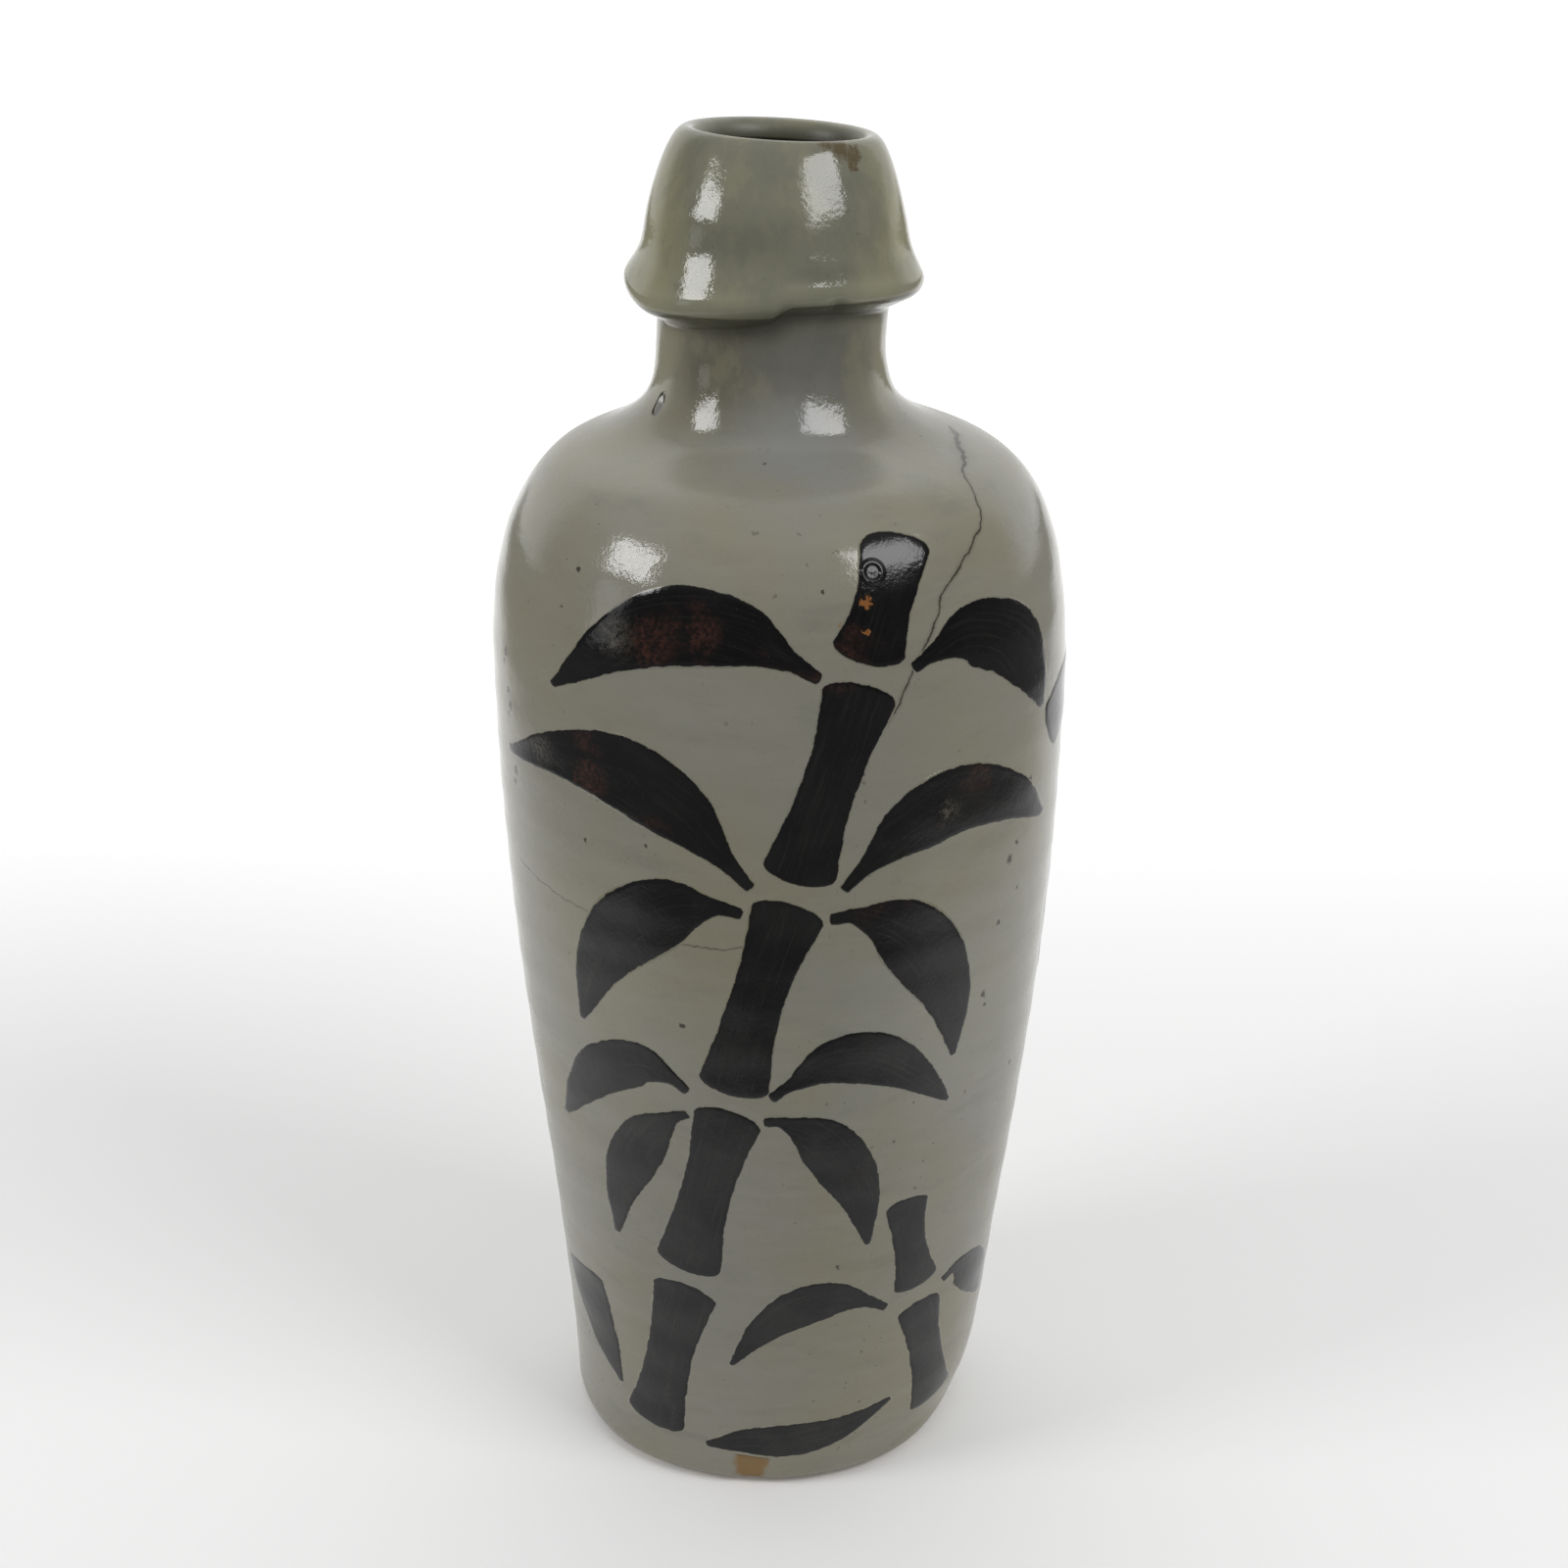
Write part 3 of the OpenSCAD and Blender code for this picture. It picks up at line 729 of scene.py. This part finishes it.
def glaze_by_place(g, x, z):
    """The colour of the glaze, as it changes from the foot to the mouth, with painted light and shade in
    it.
    """
    # Paler over the belly, painted light from above, and darker towards the foot, painted shade.
    colour = glaze_colour(g)
    colour = g.tint(colour, g.band(z, (0.085, 0.125), (0.24, 0.222)), 0.27, GLAZE_PAINTED_LIGHT_BELLY)
    colour = g.mix(g.map(z, 0.11, 0.03, 0.0, 0.3), colour, GLAZE_PAINTED_SHADE_FOOT)

    # The glaze lies thicker and more olive at the sides of the collar, which are also painted lighter, a
    # painted reflection; in front it is greyer and darker, painted shade.
    side = g.map(g.math("ABSOLUTE", g.math("ADD", x, 0.001)), 0.011, 0.026)
    collar = g.map(z, 0.256, 0.262)
    patchy = g.map(g.noise(60, 3, 0.6), 0.3, 0.6, 0.4, 1.0)
    colour = g.tint(colour, g.times(side, collar), g.times(patchy, 0.8), COLLAR_SIDE_OLIVE_AND_PAINTED_LIGHT)
    colour = g.tint(colour, g.times(g.math("SUBTRACT", 1.0, side), collar), 0.75, COLLAR_FRONT_PAINTED_SHADE)
    # The neck is painted darker in front, a painted shadow under the collar, and painted lighter at its
    # sides, painted light.
    neck = g.band(z, (0.236, 0.246), (0.262, 0.256))
    colour = g.tint(colour, neck, g.map(side, 0.0, 1.0, 0.75, 0.0), NECK_PAINTED_SHADOW)
    colour = g.tint(colour, neck, g.map(side, 0.3, 1.0, 0.0, 0.85), NECK_PAINTED_LIGHT)

    # Clouds on the neck and the collar, and a blue-grey painted reflection where the neck begins, on the
    # shoulder that faces up.
    clouds = g.noise(95, 5, 0.65, g.stretched((1, 1, 0.6)))
    high = g.map(z, 0.236, 0.25)
    colour = g.tint(colour, g.map(clouds, 0.5, 0.66), g.times(high, 0.28), CLOUD_DARK)
    colour = g.tint(colour, g.map(clouds, 0.5, 0.36), g.times(high, 0.34), CLOUD_PALE)
    root = g.map(g.vector("DISTANCE", g.stretched((1, 1, 0.8)), (0.006, -0.034, 0.19)), 0.026, 0.004)
    colour = g.tint(colour, g.times(root, patchy), 0.7, NECK_ROOT_PAINTED_REFLECTION)

    # Painted light on the underside of the collar, which is higher on the right, and painted shade in the
    # seam below it.
    height = g.math("SUBTRACT", z, g.map(x, -0.002, 0.003, 0.0, 0.0024))
    colour = g.tint(colour, g.band(height, (0.2612, 0.2618), (0.268, 0.264)), 0.5, COLLAR_UNDER_PAINTED_LIGHT)
    return g.tint(colour, g.band(height, (0.254, 0.2605), (0.2618, 0.2612)), 0.7, SEAM_SHADE)


def glaze_marks(g, colour):
    """Bare places: the finger mark at the foot, a stain on the rim, pinholes, and two hairlines, with
    painted glints on the collar.
    """
    colour = g.mix(g.attribute("bare"), colour, BARE_CLAY)
    worn = g.map(g.noise(700, 3, 0.6), 0.3, 0.5, 0.35, 1.0)
    colour = g.tint(colour, g.times(spots(g, STAINS, 1.0, 0.6), worn), 0.85, RIM_STAIN)
    # Painted glints on the collar.
    colour = g.tint(colour, spots(g, PAINTED_GLINT_SPOTS, 0.8, 0.5), 0.8, PAINTED_GLINT)
    colour = g.tint(colour, spots(g, PINHOLES, 0.5, 0.5), 0.85, PINHOLE)
    colour = g.tint(colour, spots(g, GLAZE_OCHRES, 1.0, 0.8), 0.6, GLAZE_OCHRE)

    # Each attribute is the signed distance from a hairline, in mm.
    shiver = g.centred(g.noise(260, 4, 0.6), 1.9)
    for name, width, strength in HAIRLINES:
        away = g.math("ABSOLUTE", g.math("ADD", g.attribute(name), shiver))
        colour = g.tint(colour, g.map(away, width * 3.5, 0.0), strength * 0.25, HAIRLINE)
        colour = g.tint(colour, g.map(away, width, width * 0.3), strength, HAIRLINE)
    return colour


def outer_glaze_material():
    g = Graph("celadon_glaze")
    x, _, z = g.split()
    colour = glaze_by_place(g, x, z)
    throat = g.vector("LENGTH", g.stretched((1, 1, 0)))
    down_throat = g.times(g.map(throat, 0.0185, 0.017), g.map(z, 0.2955, 0.291))
    colour = g.tint(colour, down_throat, 0.92, THROAT_SHADE)
    colour = glaze_marks(g, colour)

    # A chip at the left of the neck: a drop with a dark outline, painted with a highlight on its upper
    # half and painted shade on its lower half.
    chip_at = g.stretched((1, 1, 0.5), g.vector("SUBTRACT", g.position, place(*CHIP_AT)))
    chip = g.math("ADD", g.vector("LENGTH", chip_at), g.centred(g.noise(500, 2), 0.0007))
    colour = g.tint(colour, g.map(chip, 0.002, 0.0016), 0.85, CHIP_OUTLINE)
    chip_light_and_shade = g.mix(g.map(z, 0.241, 0.2417), CHIP_PAINTED_SHADE, CHIP_PAINTED_HIGHLIGHT)
    colour = g.mix(g.map(chip, 0.0014, 0.0011), colour, chip_light_and_shade)

    # The gloss is duller over the shoulder, at the foot, down the throat and on bare clay.
    roughness = g.map(g.noise(45, 3, 0.6), 0.3, 0.7, 0.08, 0.14)
    roughness = g.math("ADD", roughness, g.times(g.band(z, (0.22, 0.228), (0.238, 0.233)), 0.16))
    roughness = g.math("ADD", roughness, g.map(z, 0.14, 0.06, 0.0, 0.1))
    roughness = g.math("MAXIMUM", roughness, g.times(g.attribute("bare"), 0.75))
    roughness = g.math("MAXIMUM", roughness, g.map(throat, 0.0185, 0.017, 0.0, 0.42))
    relief = g.bump(g.map(chip, 0.0019, 0.0012), -0.0006, glaze_relief(g))
    return g.finish(colour, roughness, relief, IOR=GLAZE_IOR)


def lining_material():
    g = Graph("inner_glaze")
    colour = g.mix(0.6, glaze_colour(g), LINING_SHADE)
    return g.finish(colour, 0.3, glaze_relief(g), IOR=GLAZE_IOR)


def ink_material():
    """Iron pigment: brush hairs along each stroke, dark edges, rusty and milky patches."""
    g = Graph("iron_pigment")
    z = g.split()["Z"]
    depth = g.attribute("inside_by")
    lane = g.add("ShaderNodeCombineXYZ", X=g.times(g.attribute("along"), 0.022),
                 Y=g.times(g.attribute("across"), 0.55), Z=g.times(g.attribute("seed"), 3.7))
    hairs = g.noise(2.6, 5, 0.7, lane.outputs[0])
    pool = g.noise(75, 4, 0.6)
    fine = g.noise(900, 4, 0.75)
    speckle = g.noise(2100, 2, 0.6)

    # Lower on the bottle the ink is painted paler, a painted reflection of the pale floor.
    painted_floor_reflection = g.map(z, 0.2, 0.08)
    black = g.mix(painted_floor_reflection, INK_HIGH, INK_LOW)
    pooled = g.mix(painted_floor_reflection, INK_HIGH_POOL, INK_LOW_POOL)
    colour = g.mix(g.map(pool, 0.4, 0.66), black, pooled)
    thin = g.times(g.map(hairs, 0.5, 0.7), g.map(depth, 0.5, 1.6))
    colour = g.tint(colour, thin, g.map(painted_floor_reflection, 0.0, 1.0, 0.3, 0.5), INK_THIN)
    colour = g.tint(colour, g.map(speckle, 0.64, 0.74), 0.4, INK_SPECKLE)

    # Rust where the iron broke through, thickest high on the bottle, and milky places.
    cloudy = g.map(g.noise(40, 3, 0.6, g.shifted((5, 2, 7))), 0.58, 0.7)
    rust = g.math("MAXIMUM", g.times(cloudy, g.map(z, 0.12, 0.175, 0.15, 0.8)), spots(g, RUSTS, 1.6, 0.7))
    rust = g.times(rust, g.map(fine, 0.34, 0.58, 0.25, 1.0))
    rusty = g.mix(g.map(fine, 0.4, 0.7), RUST_DARK, RUST_PALE)
    colour = g.tint(colour, rust, 0.85, rusty)
    colour = g.tint(colour, spots(g, MILKS, 1.4, 0.95), g.map(fine, 0.4, 0.66, 0.05, 0.7), MILKY)
    colour = g.mix(spots(g, INK_OCHRES, 1.0, 0.4), colour, INK_OCHRE)

    # The edge of a stroke: a darker line where the pigment pooled, then bare glaze.
    wander = g.centred(g.noise(330, 3, 0.55), 0.9)
    edge = g.math("ADD", g.math("ADD", depth, wander), g.centred(fine, 0.45))
    colour = g.tint(colour, g.map(edge, 0.9, 0.25), 0.55, INK_EDGE)
    colour = g.mix(g.map(edge, 0.16, -0.1), colour, glaze_colour(g))

    # A burst blister, with a raised rim.
    burst = g.vector("DISTANCE", g.position, place(*BLISTER_AT))
    blister = g.band(burst, (0.0012, 0.0019), (0.0029, 0.0021))
    relief = g.bump(blister, 0.0007, glaze_relief(g))
    return g.finish(colour, g.map(pool, 0.3, 0.7, 0.06, 0.15), relief, IOR=INK_IOR)


def clay_material(name, light, dark):
    g = Graph(name)
    grit = g.noise(1400, 3, 0.7)
    colour = g.mix(g.map(g.noise(120, 4, 0.6), 0.3, 0.7), dark, light)
    colour = g.tint(colour, g.map(grit, 0.62, 0.72), 0.6, CLAY_GRIT)
    return g.finish(colour, g.map(grit, 0.3, 0.7, 0.75, 0.9), g.bump(grit, 0.0003))


glaze = outer_glaze_material()
lining = lining_material()
ink = ink_material()
clay = clay_material("stoneware_clay", srgb(150, 130, 98), srgb(112, 94, 68))
slip = clay_material("clay_slip", srgb(132, 118, 92), srgb(100, 88, 66))


# ---------------------------------------------------------------- the pieces

SHELL_SEGMENTS, CLAY_SEGMENTS, COLLAR_SEGMENTS, JOINT_SEGMENTS = 320, 192, 160, 128

# The bare finger mark: its middle, its half width and half height, and how far the glaze is lowered.
FINGER_X, FINGER_Z = -4.4, 6.8
FINGER_WIDE, FINGER_TALL = 3.9, 6.2
SINK = 0.42

# The right hairline, from its lower end up: heights in mm, azimuths in degrees.
RIGHT_RUN_Z = [160, 174, 180, 188, 196, 209, 211, 216, 221, 223, 230, 232.4, 234]
RIGHT_RUN_AZIMUTH = [11, 13, 15, 20.5, 24.5, 32, 32.5, 39, 47.5, 50, 55, 69.5, 87]

# The left hairline, from its left end.
LEFT_RUN_AZIMUTH = [-72, -54, -37, -25, -12, -3]
LEFT_RUN_Z = [145.5, 143, 141, 139.5, 139, 140.5]

# The rows of the clay's outside from the foot to just under the belly.
low_wall = clay_outside[:90]


def ring(out, back):
    return np.vstack([out, back[::-1]])


def bare_mask(points):
    """Where a finger held the bottle in the glaze bucket, the glaze is missing at the foot."""
    x, z = points[:, 0] - FINGER_X, points[:, 2] - FINGER_Z
    ragged = 0.5 * np.sin(x * 1.7 + 0.6) + 0.35 * np.sin(z * 2.3) + 0.25 * np.sin(3.1 * x + 2 * z)
    distance = np.hypot(x / FINGER_WIDE, z / FINGER_TALL) + 0.09 * ragged
    return (1 - smooth_step(distance, 0.88, 1.05)) * (points[:, 1] < 0)


def sink_bare_patch(points, shaped):
    """Lowers the glaze over the bare patch, almost to the clay."""
    radius = np.hypot(points[:, 0], points[:, 1])
    outer_side = radius > np.interp(points[:, 2], low_wall[:, 1], low_wall[:, 0]) + 0.2
    sink = SINK * bare_mask(points) * outer_side * (points[:, 2] < 20)
    out = points[:, :2] / np.maximum(radius, 1e-6)[:, None]
    shaped[:, :2] -= out * sink[:, None]
    return shaped


def crack_right(points):
    """Signed distance in mm from the hairline that runs down from the right shoulder."""
    azimuth = np.arctan2(points[:, 0], -points[:, 1])
    radius = np.hypot(points[:, 0], points[:, 1])
    z = points[:, 2]
    below, here, above = (np.radians(np.interp(z + step, RIGHT_RUN_Z, RIGHT_RUN_AZIMUTH))
                          for step in (-0.5, 0, 0.5))
    distance = (azimuth - here) * radius / np.hypot(1, (above - below) * radius)
    beyond = np.maximum(0, z - 234) + np.maximum(0, 168 - z)
    return np.copysign(np.abs(distance) + 4 * beyond, distance)


def crack_left(points):
    """Signed distance in mm from the hairline across the left of the belly."""
    azimuth = np.degrees(np.arctan2(points[:, 0], -points[:, 1]))
    distance = points[:, 2] - np.interp(azimuth, LEFT_RUN_AZIMUTH, LEFT_RUN_Z)
    beyond = np.maximum(0, -70 - azimuth) + np.maximum(0, azimuth + 4)
    return np.copysign(np.abs(distance) + beyond, distance)


shell, shell_points = turned("outer_glaze_shell", ring(outside, clay_outside[::3]), SHELL_SEGMENTS,
                             glaze, "outer_glaze", sink_bare_patch)
store(shell, "bare", bare_mask(shell_points))
store(shell, "hairline_right", crack_right(shell_points))
store(shell, "hairline_left", crack_left(shell_points))

turned("inner_glaze_lining", ring(clay_inside, inside), CLAY_SEGMENTS, lining,
       "inner_glaze")

ring_inside = foot_c[0] - FOOT_RING_W
base = np.array([[0, BASE_HOLLOW], [15, BASE_HOLLOW], [ring_inside - BASE_HOLLOW, BASE_HOLLOW],
                 [ring_inside, 0]])
bare_foot = arc(foot_c, FOOT_ROUND - GLAZE_T, -math.pi / 2, GLAZE_LINE, 6)
body_out = np.vstack([base, bare_foot, between_levels(clay_outside[1:], 0, NECK_JOINT_Z)])
body_in = between_levels(clay_inside[1:], 0, NECK_JOINT_Z)
turned("thrown_clay_body", np.vstack([body_out, body_in[::-1], clay_inside[:1]]), CLAY_SEGMENTS, clay,
       "thrown_body")

slip_top = NECK_JOINT_Z + SLIP_T
slip_out = between_levels(clay_outside, NECK_JOINT_Z, slip_top)
slip_in = between_levels(clay_inside, NECK_JOINT_Z, slip_top)
turned("neck_slip_ring", ring(slip_out, slip_in), JOINT_SEGMENTS, slip, "neck_slip")

clay_bore_r = BORE_R + GLAZE_T
sleeve_top_z = TUBE_TOP_Z + SLIP_T
spigot = np.array([[TUBE_R, COLLAR_JOINT_Z], [TUBE_R, TUBE_TOP_Z], [clay_bore_r, TUBE_TOP_Z]])
neck_out = between_levels(clay_outside[clay_outside[:, 1] < COLLAR_JOINT_Z], slip_top, COLLAR_JOINT_Z)
neck_in = between_levels(clay_inside, slip_top, TUBE_TOP_Z - 1)
tube = np.vstack([neck_out, [[neck_out[-1, 0], COLLAR_JOINT_Z]], spigot, neck_in[::-1]])
turned("neck_clay_tube", tube, JOINT_SEGMENTS, clay, "neck_tube")

sleeve = [[TUBE_R, COLLAR_JOINT_Z], [SOCKET_R, COLLAR_JOINT_Z], [SOCKET_R, sleeve_top_z],
          [clay_bore_r, sleeve_top_z], [clay_bore_r, TUBE_TOP_Z], [TUBE_R, TUBE_TOP_Z]]
turned("collar_slip_sleeve", sleeve, JOINT_SEGMENTS, slip, "collar_slip")

above_joint = clay_outside[clay_outside[:, 1] > COLLAR_JOINT_Z]
collar_out = above_joint[above_joint[:, 0] > clay_bore_r + 0.01]
bore_edge = [[clay_bore_r, HEIGHT - RIM_DROP - 0.1], [clay_bore_r, sleeve_top_z], [SOCKET_R, sleeve_top_z]]
collar = np.vstack([[[SOCKET_R, COLLAR_JOINT_Z + 0.05]], collar_out, bore_edge])
turned("mouth_clay_collar", collar, COLLAR_SEGMENTS, clay, "mouth_collar")

brush_group("brushed_stem", STEM, ink, "iron_stem")
brush_group("brushed_leaves_upper", LEAVES_UPPER, ink, "iron_leaves_upper")
brush_group("brushed_leaves_middle", LEAVES_MIDDLE, ink, "iron_leaves_middle")
brush_group("brushed_sprig_lower", SPRIG_LOWER, ink, "iron_sprig_lower")
brush_group("brushed_spray_side", SPRAY_SIDE, ink, "iron_spray_side", SIDE_TURN)


# ---------------------------------------------------------------- floor, light and camera

FLOOR_R = 12
PAPER_PAINTED_SHADE, PAPER_PAINTED_LIGHT = srgb(145, 145, 144), srgb(247, 247, 247)
LIGHT_TARGET, LIGHT_DISTANCE = np.array([0, 0, 0.22]), 1.5
LENS, SENSOR_WIDTH, LOOKING_DOWN = 61.875, 36, 20.67
CAMERA_AT = (0.0008, -0.5602, 0.3638)

# The world's ramps: axis, where the ramp starts and ends on it, brightness at its start and end.
WORLD_RAMPS = [(1, 0.3, 0.6, 0.2, 1.2), (2, 0.2, 1.0, 0.0, 0.35)]

# Area lights: name, azimuth and elevation in degrees, width and height in metres, radiance.
LIGHTS = [
    ("left_window", -68.5, 27, 0.56, 0.36, 9.5),
    ("right_window", 52.5, 36.5, 0.82, 0.46, 7),
    ("left_wall", -72, 4, 0.34, 0.5, 1.0),
]


def build_floor():
    """A sheet of pale paper with a painted pool of light, whitest behind the bottle: it is painted darker
    in front and far to the sides, and glows where the pool is.
    """
    bpy.ops.mesh.primitive_circle_add(vertices=96, radius=FLOOR_R, fill_type="NGON")
    floor = bpy.context.object
    floor.name = "floor"
    g = Graph("paper_floor_painted_light")
    x, y, _ = g.split()
    beside = g.math("SUBTRACT", g.math("ABSOLUTE", x), g.times(y, 0.36))
    painted_pool = g.math("MINIMUM", g.map(beside, 0.5, 0.22), g.map(y, -0.27, -0.08))
    colour = g.mix(painted_pool, PAPER_PAINTED_SHADE, PAPER_PAINTED_LIGHT)
    painted_glow = g.times(painted_pool, g.map(y, 0.05, 0.7, 0.09, 0.6))
    floor.data.materials.append(g.finish(colour, 0.9, None, {"Emission Strength": painted_glow},
                                         Specular_IOR_Level=0.1, Emission_Color=(1, 1, 1, 1)))


def soft_light(name, azimuth, elevation, width, height, radiance):
    """An area light aimed at the shoulder, placed by the direction it is seen in from there."""
    a, e = math.radians(azimuth), math.radians(elevation)
    towards = np.array([math.sin(a) * math.cos(e), -math.cos(a) * math.cos(e), math.sin(e)])
    data = bpy.data.lights.new(name, "AREA")
    data.shape = "RECTANGLE"
    data.size = width
    data.size_y = height
    data.energy = radiance * math.pi * width * height
    lamp = bpy.data.objects.new(name, data)
    lamp.location = LIGHT_TARGET + LIGHT_DISTANCE * towards
    lamp.rotation_euler = (math.pi / 2 - e, 0, a)
    bpy.context.collection.objects.link(lamp)


def build_world():
    """A dim room in front, a pale wall behind and a pale ceiling, with no edge between them."""
    world = bpy.data.worlds.new("studio")
    world.use_nodes = True
    bpy.context.scene.world = world
    tree = world.node_tree
    tree.nodes.clear()
    direction = tree.nodes.new("ShaderNodeTexCoord").outputs["Generated"]
    split = tree.nodes.new("ShaderNodeSeparateXYZ")
    tree.links.new(direction, split.inputs[0])
    total = None
    for axis, *numbers in WORLD_RAMPS:
        ramp = tree.nodes.new("ShaderNodeMapRange")
        ramp.interpolation_type = "SMOOTHSTEP"
        for socket, number in zip(ramp.inputs[1:5], numbers):
            socket.default_value = number
        tree.links.new(split.outputs[axis], ramp.inputs[0])
        if total is None:
            total = ramp.outputs[0]
        else:
            both = tree.nodes.new("ShaderNodeMath")
            both.operation = "ADD"
            tree.links.new(total, both.inputs[0])
            tree.links.new(ramp.outputs[0], both.inputs[1])
            total = both.outputs[0]
    background = tree.nodes.new("ShaderNodeBackground")
    tree.links.new(total, background.inputs["Strength"])
    output = tree.nodes.new("ShaderNodeOutputWorld")
    tree.links.new(background.outputs[0], output.inputs[0])


def build_camera():
    data = bpy.data.cameras.new("camera")
    data.sensor_width = SENSOR_WIDTH
    data.lens = LENS
    data.clip_end = 50
    camera = bpy.data.objects.new("camera", data)
    camera.location = CAMERA_AT
    camera.rotation_euler = (math.radians(90 - LOOKING_DOWN), 0, 0)
    bpy.context.collection.objects.link(camera)
    bpy.context.scene.camera = camera


build_floor()
for light in LIGHTS:
    soft_light(*light)
build_world()
build_camera()
bpy.context.scene.view_settings.view_transform = "Standard"
